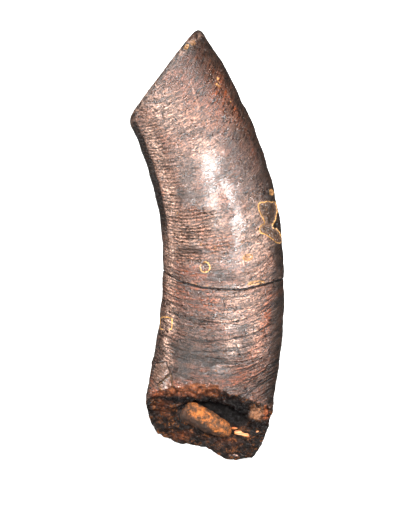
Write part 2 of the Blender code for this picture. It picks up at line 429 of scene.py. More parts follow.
# The spall on the outer edge: an upper lobe, a neck, and a lower lobe that ends at the tooth's side.
EDGE_SPALL = (
    *((258.8, 203.8), (260.9, 202.3), (264.1, 202.3), (267.7, 201.1), (271.4, 202.3), (275, 201.8), (275.9, 204.5)),
    *((277.3, 210), (276.4, 214.5), (275.5, 220), (272.7, 223.6), (272.3, 225.9), (273.6, 228.2), (276.8, 229.1)),
    *((279.5, 232.3), (280.9, 236.4), (282.1, 240.5), (280, 243.2), (276.8, 242.7), (274.1, 240.5), (270.5, 237.7)),
    *((265.9, 234.5), (260.9, 233.2), (258.8, 229.1), (260.9, 225.5), (264.1, 224.1), (264.5, 222.3)),
    *((262.3, 216.8), (260.5, 213.6), (258.8, 208.2)),
)

# The pocket that broke out of the crack's upper lip, and the cement that fell off the left edge of the stump.
CRACK_POCKET = ((248, 284.4), (251, 282), (256.5, 281), (262, 281.2), (265, 282.2), (256, 284))
UPPER_SCAR = ((154.5, 363), (166, 361.5), (170, 372.5), (157.5, 384), (152, 378.5))
LOWER_SCAR = ((158.5, 385.5), (171, 373.5), (173, 389.5), (162.5, 391.5))

CHIPS = (
    Chip(EDGE_SPALL, Fill.FRESH, 0.35),
    Chip(CRACK_POCKET, Fill.FRESH, 0.35, rim=0.45, glow=0.6),
    Chip(UPPER_SCAR, Fill.FILM, 0.2, rim=0.0, glow=0.2),
    Chip(LOWER_SCAR, Fill.FILM, 0.2, rim=0.3, glow=0.2),
    round_chip(275.6, 225.2, (1.5, 3.0), Fill.SKIN, 0.5, tilt=14, rim=0.0),
    round_chip(247.9, 257.3, (4.9, 3.1), Fill.GOLD, 0.25, tilt=-16, rim=0.3, glow=0.5),
    round_chip(205.0, 267.0, (5.0, 5.3), Fill.SKIN, 0.06, rim=1.0, gap_at=(200.8, 261.9)),
    round_chip(166.0, 323.4, (6.0, 6.2), Fill.SKIN, 0.08, tilt=4, squareness=6, rim=1.6, gap_at=(166, 330.5)),
    round_chip(271.4, 192.2, (2.0, 3.2), Fill.GOLD, 0.15, tilt=-12, rim=0.5),
    round_chip(193.2, 42.4, (2.2, 2.6), Fill.GOLD, 0.25, tilt=20, rim=0.1, glow=0.3),
    round_chip(186.6, 46.6, (1.5, 3.2), Fill.GOLD, 0.25, tilt=38, rim=0.2, glow=0.4),
    *(
        speck(*row)
        for row in (
            *((201, 244.6, 1.2), (215.2, 248.2, 1.2), (242, 242.6, 0.9), (177.3, 213, 0.9), (207.5, 238.5, 0.6)),
            *((217.6, 78.6, 1.6, 1.0), (216.7, 84.2, 1.2, 1.0), (219.4, 86.2, 1.2, 1.0), (218.4, 82, 0.7)),
            *((230.6, 101.7, 0.9, 1.0), (258.4, 198.6, 0.6, 0.5), (279, 248, 0.6, 0.5), (280.5, 258, 0.6, 0.5)),
            *((223.5, 353, 0.7, 0.6), (216, 371, 0.7, 0.6), (192.5, 283.2, 0.8), (196.5, 284.2, 0.8)),
            *((207, 285.8, 0.8), (213, 286.4, 0.7)),
        )
    ),
)

HAIRLINES = (
    ((159, 334.5), (168, 336.5), (176, 338.5), (185, 339.5)),
    ((154.5, 358), (158, 359.5), (162.5, 361)),
    ((223, 300), (225, 307), (223.5, 313)),
    ((236.5, 346), (238.5, 351), (240, 355)),
    ((161, 336), (158, 344), (160, 350)),
    ((245, 388), (248, 394), (246, 400)),
    (*UPPER_SCAR, UPPER_SCAR[0]),
    LOWER_SCAR,
    ((174, 313), (201, 321), (228, 324), (247, 318), (267, 306), (281, 300)),
    ((186, 339.5), (206, 341.5), (227, 340), (252, 335), (273, 323)),
    ((206, 352), (232, 351), (256, 343), (276, 331)),
    ((226, 378), (252, 367), (277, 350)),
    ((232, 387), (258, 375), (277, 361)),
    ((240, 396), (267, 382), (276, 372)),
    ((250, 402), (263, 394), (275, 385)),
)
SCRATCHES = (
    ((245, 227), (252, 223), (259, 217.5)),
    ((254.5, 255), (263, 250), (273, 244.5)),
    ((250.4, 238), (253, 243), (256.3, 249)),
    ((191.5, 83), (194, 94), (198, 106)),
)

# Stains of the outer skin, with painted highlight among the pale patches and painted shade in the spall's hole.
SKIN_STAINS = {
    Stain.IRON: patches(
        *((208, 58, 3, 14, 0.5, 28), (226, 86, 6.5, 21, 1.3, 26), (239, 113, 5.5, 14, 1.2, 24)),
        *((206, 84, 7, 6, 0.6), (214, 100, 11, 14, 0.8), (205, 122, 16, 14, 0.25), (253, 142, 4, 17, 1, 20)),
        *((193, 273, 15, 5.5, 1.4, -12), (211, 241, 7, 4, 0.5), (183, 301, 8, 4, 0.4), (189, 308, 4, 3, 0.6)),
        *((280, 291, 4.5, 7, 1.3), (215, 306, 18, 5, 0.5), (203, 327, 16, 4, 0.4)),
        *((232, 380, 18, 5, 1.1, 20), (196, 384, 24, 5, 1.3), (265, 318, 4.5, 24, 1.1, -12)),
        *((260, 338, 5, 20, 0.8, -22), (273, 378, 2, 17, 0.8, -3), (157, 393.5, 7, 3.2, 0.9)),
        *((179, 385, 7, 5.5, 0.5), (152, 380, 2, 12, 0.5, 8), (150, 118, 10, 10, 0.25)),
        *((200, 96, 26, 34, 0.35, 30), (193, 58, 12, 14, 0.5, 40), (214, 243, 9, 7, 1)),
        *((203, 114, 22, 18, 0.8), (203, 62, 10, 20, 0.7, 30), (200, 302, 24, 11, 0.7)),
        *((212, 374, 26, 9, 0.9), (186, 290, 14, 7, 0.6), (205, 231, 5, 6, 0.6), (177, 262, 8, 4, 0.8)),
        *((243, 268, 8, 5, 0.4), (222, 200, 5, 12, 0.4, 14), (215, 372, 22, 8, 0.5)),
        *((222, 90, 13, 24, 0.5, 26), (196, 386, 22, 6, 0.7)),
    ),
    Stain.PALE: patches(
        # Painted highlight: (205, 150) and (214, 228) on the crown's satin streak, (230, 318) and (232, 346) on the
        # sparkle below the crack, and the narrow patches at x 158 to 171 along the lit left ridge.
        *((168, 112, 18, 20, 0.5, 20), (195, 122, 18, 16, 0.35), (205, 150, 14, 14, 0.4)),
        *((184, 160, 13, 26, 0.2, 14), (214, 228, 15, 30, 0.3), (186, 238, 17, 22, 0.4)),
        *((170, 262, 4, 40, 0.5), (240, 300, 22, 12, 0.35), (222, 366, 12, 7, 0.3), (230, 318, 12, 8, 0.5)),
        *((232, 346, 9, 7, 0.5), (168, 352, 3.5, 18, 0.6, 4), (158, 152, 5, 34, 0.5, 18)),
        *((171, 196, 5, 24, 0.5, 9), (170, 318, 6, 15, 0.7), (254, 245, 17, 42, 0.28)),
        (256, 330, 8, 24, 0.3),
    ),
    Stain.MANGANESE: patches(
        *((186, 272.5, 16, 6.5, 0.4, -12), (214, 56, 3, 9, 0.7, 20), (203, 56, 20, 26, 0.7, 20)),
        *((226, 96, 19, 30, 0.36, 24), (196, 92, 26, 28, 0.16, 30), (190, 48, 9, 14, 0.95, 40)),
        *((248, 118, 8, 30, 0.45, 24), (203, 362, 32, 24, 0.7), (190, 315, 14, 42, 0.3)),
        *((206, 110, 16, 20, 0.2), (186, 68, 9, 26, 0.35, 40), (214, 275, 13, 7, 0.5)),
        *((216, 228, 13, 20, 0.18), (172, 378, 16, 12, 0.4), (247, 138, 9, 24, 0.7, 20)),
        *((220, 357, 16, 7, 0.5, 12), (206, 374, 24, 9, 0.4), (246, 392, 22, 8, 0.4, 20)),
        *((240, 145, 10, 26, 0.55, 16), (255, 168, 8, 26, 0.5, 14), (187, 173, 7, 12, 0.55)),
        *((183, 197, 8, 7, 0.6), (190, 250, 14, 6, 0.75, -4), (190, 232, 14, 9, 0.3, 6)),
        *((176, 348, 7, 6, 1, -12), (190, 355, 17, 9, 1.15, -12), (212, 361, 17, 8, 1.1, -6)),
        # (275.8, 225.2) paints the hole beside the spall black, as painted shade.
        *((275.8, 225.2, 2.2, 4.4, 1.8, -10), (180, 371, 12, 10, 1), (220, 376, 22, 8, 0.5)),
        *((276, 325, 5, 26, 0.75), (260, 387, 20, 8, 0.3, 22), (277, 366, 4, 26, 0.5, -6)),
        (200, 388, 27, 7, 0.6),
    ),
}

# Stains of the broken wall: rust, a pale patch of sound dentine, and black, part of which is painted shadow.
WALL_STAINS = {
    Stain.IRON: patches(
        *((157, 392.5, 8, 4, 0.9), (163, 407, 7, 8, 0.25), (194, 390, 24, 6, 0.85)),
        *((181, 435, 10, 4, 0.3, 10), (225, 441, 14, 5, 0.2, -10), (266, 413, 1.8, 7, 1.5, 8)),
    ),
    Stain.PALE: patches(
        *((194, 388, 24, 5, 0.3), (256.5, 413.5, 5.2, 4.6, 3)),
    ),
    Stain.MANGANESE: patches(
        # (192, 400.5) paints the shadow band under the near wall's lip, and (236, 413) and (226, 404) the hole
        # beside the mound: painted shadow.
        *((192, 400.5, 34, 3.4, 1.5, -5), (212, 447, 22, 6, 0.5), (250, 451, 12, 8, 0.55)),
        *((236, 413, 12, 11, 1.6), (226, 404, 9, 6, 0.8), (258, 425, 10, 5, 0.8)),
    ),
}

# The satin streak that wear has polished on the crown, in two branches, and the rubbed places below it.
POLISH = patches(
    *((216, 74, 10, 36, 0.8, 28), (236, 112, 15, 42, 0.75, 24), (230, 324, 12, 14, 0.6)),
    *((234, 346, 9, 8, 0.5), (210, 168, 12, 22, 1, 4), (213, 200, 9, 24, 0.9), (228, 192, 7, 18, 1, 24)),
    *((236.5, 226, 7, 28, 1), (232, 262, 18, 12, 0.6), (240, 286, 18, 4, 0.7, 6), (229, 330, 12, 14, 0.35)),
    *((220, 369, 9, 7, 0.5), (205, 215, 34, 60, 0.4, 6), (168, 300, 7, 24, 0.5, -4)),
)

# Where the skin is drawn into tight transverse wrinkles.
WRINKLES = patches(
    *((193, 217, 18, 7, 1.6, 8), (192, 233, 19, 10, 1.6, 6), (187, 254, 15, 7, 1.6), (215, 238, 18, 24, 0.5)),
    *((172, 180, 9, 34, 0.45, 16), (158, 140, 9, 22, 0.45, 20), (212, 322, 34, 6, 0.5)),
    *((205, 342, 34, 10, 0.35), (258, 372, 22, 22, 0.9, 20), (180, 330, 20, 12, 0.5)),
)


def linear(hex_colour: str) -> tuple[float, float, float, float]:
    """Turns a hex sRGB colour into a linear one, with full alpha."""
    parts = [int(hex_colour[i : i + 2], 16) / 255 for i in (1, 3, 5)]
    straight = [c / 12.92 if c <= 0.04045 else ((c + 0.055) / 1.055) ** 2.4 for c in parts]
    return (*straight, 1.0)


COLOUR_MIX = {"data_type": "RGBA"}
MULTIPLY_MIX = {"data_type": "RGBA", "blend_type": "MULTIPLY"}
SMOOTH = {"interpolation_type": "SMOOTHSTEP"}
FACTOR, FIRST, SECOND, MIXED = 0, 6, 7, 2


class Recipe:
    """A material in the making: its nodes, and the sockets that its finish keeps by name."""

    def __init__(self, name: str) -> None:
        """Starts a material of this name with its shader."""
        self.material = bpy.data.materials.new(name)
        self.material.use_nodes = True
        self.tree = self.material.node_tree
        self.shader = self.tree.nodes["Principled BSDF"].inputs
        self.parts: dict[str, Sequence[Socket]] = {}
        self.grains: dict[str, Socket] = {}
        self.masks: dict[str, Socket] = {}

    @cached_property
    def place(self) -> Socket:
        """The object coordinates."""
        return self.add("TexCoord")["Object"]

    def give(self, entry: Socket, value: object) -> None:
        """Links an input to a socket, or sets it to a value."""
        if isinstance(value, Socket):
            self.tree.links.new(value, entry)
        else:
            entry.default_value = value

    def add(
        self, kind: str, settings: dict[str, object] | None = None, inputs: Sequence | dict = ()
    ) -> Sequence[Socket]:
        """Adds a node.

        Args:
            kind: the node's type, without its prefix.
            settings: its own settings.
            inputs: a socket or a value for each input, in order or by name or number.

        Returns:
            The node's outputs.
        """
        node = self.tree.nodes.new("ShaderNode" + kind)
        for name, value in (settings or {}).items():
            setattr(node, name, value)
        for key, value in inputs.items() if isinstance(inputs, dict) else enumerate(inputs):
            self.give(node.inputs[key], value)
        return node.outputs

    def values_of(self, attribute: str) -> Sequence[Socket]:
        """Gives the three values of an attribute that the mesh holds."""
        return self.add("SeparateXYZ", None, [self.add("Attribute", {"attribute_name": attribute})["Vector"]])

    def lumps(
        self, size: float, detail: float, twist: float, roughness: float = 0.6, place: Socket | None = None
    ) -> Socket:
        """Gives noise with lumps of this size in the place's unit, which is metres of the object by default."""
        inputs = {"Scale": 1 / size, "Detail": detail, "Roughness": roughness, "Distortion": twist}
        return self.add("TexNoise", None, {"Vector": place or self.place, **inputs})[0]

    def product(self, first: Socket, *others: Socket | float) -> Socket:
        """Gives the product of several values."""
        for other in others:
            first = self.add("Math", {"operation": "MULTIPLY"}, (first, other))[0]
        return first

    def summed(self, start: Socket | float, *terms: tuple[Socket, Socket | float]) -> Socket:
        """Gives a start plus each term's value times its weight."""
        for value, weight in terms:
            start = self.add("Math", {"operation": "MULTIPLY_ADD"}, (value, weight, start))[0]
        return start

    def threads(self, value: Socket, middle: float, half_width: float) -> Socket:
        """Gives 1 along the thin lines where a noise crosses its middle, and 0 past half_width from them."""
        off = self.add("Math", {"operation": "SUBTRACT"}, (value, middle))[0]
        off = self.add("Math", {"operation": "ABSOLUTE"}, (off,))[0]
        return self.add("MapRange", SMOOTH, (off, half_width, 0.0))[0]

    def layered(self, colour: Socket | tuple, *layers: tuple[Socket, str]) -> Socket:
        """Lays tones over a colour, each as far as its mask covers."""
        for cover, tone in layers:
            colour = self.add("Mix", COLOUR_MIX, {FACTOR: cover, FIRST: colour, SECOND: linear(tone)})[MIXED]
        return colour

    def stained(self, colour: Socket, stain_and_painted_light: Sequence[Socket], tones: Sequence[str], by: Socket) -> Socket:
        """Lays three stains over a colour, each broken up by a noise."""
        clamped = {"operation": "MULTIPLY", "use_clamp": True}
        covers = [self.add("Math", clamped, (mask, by))[0] for mask in stain_and_painted_light]
        return self.layered(colour, *zip(covers, tones))

    def shaded(self, colour: Socket, by: Socket, dark: float, pale: float) -> Socket:
        """Multiplies a colour by a grey that goes from dark to pale as a noise rises."""
        shade = self.add("MapRange", None, (by, 0.34, 0.66, dark, pale))[0]
        grey = self.add("CombineColor", None, (shade, shade, shade))[0]
        return self.add("Mix", MULTIPLY_MIX, {FACTOR: 1.0, FIRST: colour, SECOND: grey})[MIXED]

    def finished(
        self, colour: Socket, roughness: Socket | float, height: Socket, depth: float, strength: float = 1.0
    ) -> bpy.types.Material:
        """Dresses the shader.

        Args:
            colour: the colour.
            roughness: the roughness.
            height: the relief that is finer than the mesh.
            depth: how many millimetres a height of 1 stands out.
            strength: how much of the relief shows.

        Returns:
            The material.
        """
        relief = self.add("Bump", None, {"Height": height, "Distance": depth * MM, "Strength": strength})[0]
        for name, value in (("Base Color", colour), ("Roughness", roughness), ("Normal", relief)):
            self.give(self.shader[name], value)
        return self.material


@dataclass(frozen=True)
class MineralisedDentine:
    """Fossil dentine under a skin of cementum, stained by iron and manganese and worn to a satin polish.

    It is stone by now: hard and close, so it takes a broken satin shine, while its growth lines and its fine pits
    keep that shine from ever being a clear mirror. The grain of the bumps is coarser than the real one, which would
    be too fine to show.
    """

    copper: str = "#593628"
    umber: str = "#39251d"
    slate: str = "#2c2625"
    iron: str = "#5e2a11"
    film: str = "#a28170"
    # Tone of the manganese stain and of the painted shade laid in the same slot.
    manganese_and_shade: str = "#20140d"
    gold: str = "#b07c50"
    rim: str = "#f2b46a"
    fresh: str = "#6f5545"
    fresh_deep: str = "#241912"
    crack: str = "#050404"
    index: float = 1.64
    polished_roughness: float = 0.24
    plain_roughness: float = 0.3
    roughness_swing: float = 0.1
    crust_roughness: float = 0.08
    cloud_size: float = 9.0
    mottle_size: float = 2.0
    streak: tuple[float, float] = (1.1, 9.0)
    stroke: tuple[float, float] = (0.44, 1.3)
    grain: float = 0.5
    rim_half_width: float = 0.115
    crack_half_width: float = 0.21
    hair_half_width: float = 0.11
    thread_strength: float = 0.54
    thread_loss: float = 0.75
    wrinkle_pitch: float = 1.13
    wrinkle_wander: float = 9.0

    def make(self) -> bpy.types.Material:
        """Makes the skin's material from the attributes that ToothSkin writes."""
        mix = Recipe("mineralised_dentine")
        for name in ("lay", "chip", "fills", "lines", "scratch", "stain_and_painted_light", "wear"):
            mix.parts[name] = mix.values_of(name)
        mix.grains["cloud"] = mix.lumps(self.cloud_size * MM, 3.0, 0.3)
        mix.grains["mottle"] = mix.lumps(self.mottle_size * MM, 4.0, 0.6)
        mix.grains["grain"] = mix.lumps(self.grain * MM, 3.0, 0.3)
        mix.grains["streak"] = self.strokes(mix, *self.streak, 0.3)
        mix.grains["stroke"] = self.strokes(mix, *self.stroke, 0.6)
        mix.grains["thread"] = mix.threads(mix.grains["stroke"], 0.5, 0.045)
        mix.grains["wrinkle"] = self.wrinkles(mix)
        masks = mix.masks = self.masks(mix)
        colour = mix.layered(
            self.skin_colour(mix),
            *((masks["film"], self.film), (masks["fresh"], self.fresh), (masks["deep"], self.fresh_deep)),
            *((masks["worn"], self.film), (masks["scratch"], self.film), (masks["gold"], self.gold)),
            *((masks["rim"], self.rim), (masks["hair"], self.crack), (masks["crack"], self.crack)),
        )
        mix.give(mix.shader["IOR"], self.index)
        colour = mix.shaded(colour, mix.grains["grain"], 0.15, 1.7)
        return mix.finished(colour, self.roughness(mix), self.relief(mix), 1.0)

    def strokes(self, mix: Recipe, pitch: float, length: float, twist: float) -> Socket:
        """Adds noise drawn out along the growth lines.

        Args:
            mix: the material.
            pitch: the width of a stroke, in millimetres.
            length: the length of a stroke, in millimetres.
            twist: how much the strokes are bent.

        Returns:
            The noise.
        """
        x, _, z = (mix.product(part, 1 / (length * MM)) for part in mix.add("SeparateXYZ", None, [mix.place]))
        down = mix.product(mix.parts["lay"][0], 1 / pitch)
        return mix.lumps(1.0, 3.0, twist, 0.55, mix.add("CombineXYZ", None, (x, down, z))[0])

    def wrinkles(self, mix: Recipe) -> Socket:
        """Adds the tight wrinkles that run along the growth lines, as a height from -1 to 1."""
        bent = mix.product(mix.grains["mottle"], self.wrinkle_wander)
        phase = mix.summed(bent, (mix.parts["lay"][0], 2 * math.pi / self.wrinkle_pitch))
        return mix.product(mix.add("Math", {"operation": "SINE"}, [phase])[0], mix.parts["wear"][0])

    def masks(self, mix: Recipe) -> dict[str, Socket]:
        """Adds the masks of the chips, the lines, the worn edges and the crack, and gives them by name."""
        parts, mottle, ramps = mix.parts, mix.grains["mottle"], {}
        uneven = mix.summed(0.2, (mottle, 1.6))
        for name, value, *limits in (
            ("inside", parts["chip"][0], 0.1, -0.1),
            ("deep", parts["chip"][0], -0.25, -1.6),
            ("flicker", mix.grains["stroke"], 0.36, 0.56, 0.6),
            ("spots", mottle, 0.5, 0.62),
            ("patchy", mottle, 0.35, 0.6, 0.25),
        ):
            ramps[name] = mix.add("MapRange", SMOOTH, (value, *limits))[0]
        for name, distance, half_width in (
            ("rim", parts["chip"][0], self.rim_half_width),
            ("crack", parts["lay"][1], self.crack_half_width),
            ("hair", parts["lines"][0], self.hair_half_width),
            ("scratch", parts["scratch"][0], self.hair_half_width),
        ):
            away = mix.add("Math", {"operation": "ABSOLUTE"}, [distance])[0]
            away = mix.add("Math", {"operation": "DIVIDE"}, (away, uneven))[0]
            ramps[name] = mix.add("MapRange", SMOOTH, (away, half_width, half_width * 2, 1.0, 0.0))[0]
        return {
            "inside": ramps["inside"],
            "rim": mix.product(ramps["rim"], parts["chip"][1], ramps["flicker"]),
            "gold": mix.product(ramps["inside"], parts["chip"][2]),
            "fresh": mix.product(ramps["inside"], parts["fills"][0]),
            "deep": mix.product(ramps["deep"], parts["fills"][0], ramps["patchy"]),
            "film": mix.product(ramps["inside"], parts["fills"][1]),
            "worn": mix.product(ramps["spots"], parts["fills"][2]),
            "crack": mix.product(ramps["crack"], 0.96),
            "hair": mix.product(ramps["hair"], parts["lines"][1]),
            "scratch": mix.product(ramps["scratch"], parts["scratch"][1]),
        }

    def skin_colour(self, mix: Recipe) -> Socket:
        """Adds the colour of the outer skin: clouds, growth lines, stains, dirt and painted shade in the hollows
        with painted light on the crests, and pale threads.
        """
        grains, stain_and_painted_light, wear = mix.grains, mix.parts["stain_and_painted_light"], mix.parts["wear"]
        cloudy = mix.add("MapRange", SMOOTH, (grains["cloud"], 0.38, 0.62))[0]
        lined = mix.add("MapRange", SMOOTH, (grains["streak"], 0.45, 0.7, 0.0, 0.55))[0]
        colour = mix.layered(linear(self.umber), (cloudy, self.copper), (lined, self.slate))
        uneven = mix.summed(-1.1, (grains["grain"], 3.2), (grains["mottle"], 1.0))
        colour = mix.stained(colour, stain_and_painted_light, (self.iron, self.film, self.manganese_and_shade), uneven)
        colour = mix.shaded(colour, grains["stroke"], 0.1, 1.9)
        line = mix.product(mix.add("Math", {"operation": "SUBTRACT"}, (grains["streak"], 0.5))[0], wear[2])
        # Painted shade and light: darker in the wrinkles' troughs and the relief's hollows, paler on their crests.
        dirt_and_shade = mix.summed(0.5, (line, 2.8), (grains["wrinkle"], 0.5), (wear[1], 0.12))
        colour = mix.shaded(colour, dirt_and_shade, 0.35, 1.65)
        bare = mix.summed(self.thread_strength, (stain_and_painted_light[2], -self.thread_loss * self.thread_strength))
        return mix.layered(colour, (mix.product(grains["thread"], bare), self.film))

    def roughness(self, mix: Recipe) -> Socket:
        """Adds the roughness: low on the polished crown and in the chips, and higher where manganese crusts it."""
        low, high = self.plain_roughness - self.roughness_swing, self.plain_roughness + self.roughness_swing
        return mix.summed(
            mix.add("MapRange", None, (mix.grains["mottle"], 0.3, 0.7, low, high))[0],
            (mix.parts["scratch"][2], self.polished_roughness - self.plain_roughness),
            (mix.parts["stain_and_painted_light"][2], self.crust_roughness),
            (mix.masks["inside"], -0.08),
        )

    def relief(self, mix: Recipe) -> Socket:
        """Adds the relief that is finer than the mesh, in millimetres, worn down where the crown is polished."""
        parts, grains, masks = mix.parts, mix.grains, mix.masks
        lines = mix.product(grains["streak"], mix.summed(0.03, (parts["wear"][2], 0.62)))
        height = mix.summed(lines, (grains["stroke"], 0.25), (grains["grain"], 0.29), (grains["thread"], 0.05))
        worn = mix.summed(1.0, (parts["scratch"][2], -0.7))
        scarred = mix.summed(1.0, (masks["film"], -3.5))
        return mix.summed(
            mix.product(height, worn, scarred),
            *((grains["wrinkle"], 0.26), (masks["hair"], -0.15), (masks["scratch"], 0.03)),
            *((grains["mottle"], 0.10), (masks["inside"], -0.10), (masks["rim"], 0.05)),
        )


@dataclass(frozen=True)
class BrokenDentine:
    """The wall where the root broke off: rough, matt and nearly black, with rust that crept into its cracks.

    It takes no polish, so that it stays dark beside the satin skin.
    """

    dark: str = "#120c09"
    brown: str = "#321e15"
    rust: str = "#84482e"
    # Black of the wall's dark stains and of the painted shadow under the lip, in the hole and down the cavity.
    soot_and_shadow: str = "#060404"
    beige: str = "#8c6147"
    thread: str = "#c0743c"
    mottle_size: float = 1.7
    swirl_size: float = 1.4
    grain: float = 0.6
    roughness: float = 0.28
    shine: float = 0.32

    def make(self) -> bpy.types.Material:
        """Makes the material from the stains that ToothSkin writes."""
        mix = Recipe("broken_dentine")
        stain_and_painted_light = mix.values_of("stain_and_painted_light")
        mottle = mix.lumps(self.mottle_size * MM, 4.0, 0.6)
        swirl = mix.lumps(self.swirl_size * MM, 4.0, 1.8)
        grain = mix.lumps(self.grain * MM, 4.0, 0.6)
        rough = mix.add("MapRange", SMOOTH, (mottle, 0.46, 0.72))[0]
        colour = mix.layered(linear(self.dark), (rough, self.brown))
        uneven = mix.summed(-1.2, (mottle, 4.0))
        colour = mix.stained(colour, stain_and_painted_light, (self.rust, self.beige, self.soot_and_shadow), uneven)
        colour = mix.shaded(colour, grain, 0.2, 1.8)
        some = mix.add("MapRange", SMOOTH, (mottle, 0.48, 0.6, 0.0, 0.85))[0]
        bare = mix.add("Math", {"operation": "SUBTRACT", "use_clamp": True}, (some, stain_and_painted_light[2]))[0]
        colour = mix.layered(colour, (mix.product(mix.threads(swirl, 0.52, 0.028), bare), self.thread))
        mix.give(mix.shader["Specular IOR Level"], self.shine)
        return mix.finished(colour, self.roughness, mix.summed(grain, (swirl, 2.0)), 0.5)


@dataclass(frozen=True)
class CementedSilt:
    """Ochre silt that set hard in the root: matt, grainy, with dark pores, and a grey skin with painted shade on its
    lower flank.
    """

    ochre: str = "#ab6126"
    brown: str = "#4c301a"
    pore: str = "#170f09"
    ash_and_shade: str = "#2a1b12"
    cloud: float = 2.2
    grain: float = 0.42
    roughness: float = 0.75

    def make(self) -> bpy.types.Material:
        """Makes the material."""
        mix = Recipe("cemented_silt")
        cloud = mix.lumps(self.cloud * MM, 6.0, 0.4, 0.65)
        grit = mix.lumps(self.grain * MM, 3.0, 0.6, 0.5)
        cloudy = mix.add("MapRange", SMOOTH, (cloud, 0.42, 0.62))[0]
        porous = mix.add("MapRange", SMOOTH, (grit, 0.5, 0.36, 0.0, 0.65))[0]
        edge = mix.add("Attribute", {"attribute_name": "edge"})["Fac"]
        colour = mix.layered(linear(self.brown), (cloudy, self.ochre), (porous, self.pore), (edge, self.ash_and_shade))
        return mix.finished(colour, self.roughness, grit, 0.35)


@dataclass(frozen=True)
class Calcite:
    """Fibrous calcite, stained amber: bright, slightly glossy, with fine lines along each splinter."""

    amber: str = "#bb7b42"
    rust: str = "#a3541f"
    fibre: float = 0.35
    roughness: float = 0.42

    def make(self) -> bpy.types.Material:
        """Makes the material."""
        mix = Recipe("amber_calcite")
        stretched = mix.add("Mapping", None, {0: mix.place, "Scale": (0.15, 1.0, 1.0)})[0]
        fibres = mix.lumps(self.fibre * MM, 2.0, 0.0, 0.5, stretched)
        lined = mix.add("MapRange", SMOOTH, (fibres, 0.4, 0.55))[0]
        return mix.finished(mix.layered(linear(self.rust), (lined, self.amber)), self.roughness, fibres, 0.2, 0.8)


def placed(name: str, shape: bmesh.types.BMesh) -> bpy.types.Object:
    """Turns a shape into a smooth piece at the origin, with its doubles merged and its faces outwards."""
    bmesh.ops.remove_doubles(shape, verts=shape.verts, dist=0.001 * MM)
    bmesh.ops.recalc_face_normals(shape, faces=shape.faces)
    mesh = bpy.data.meshes.new(name)
    shape.to_mesh(mesh)
    shape.free()
    mesh.shade_smooth()
    made = bpy.data.objects.new(name, mesh)
    bpy.context.scene.collection.objects.link(made)
    return made


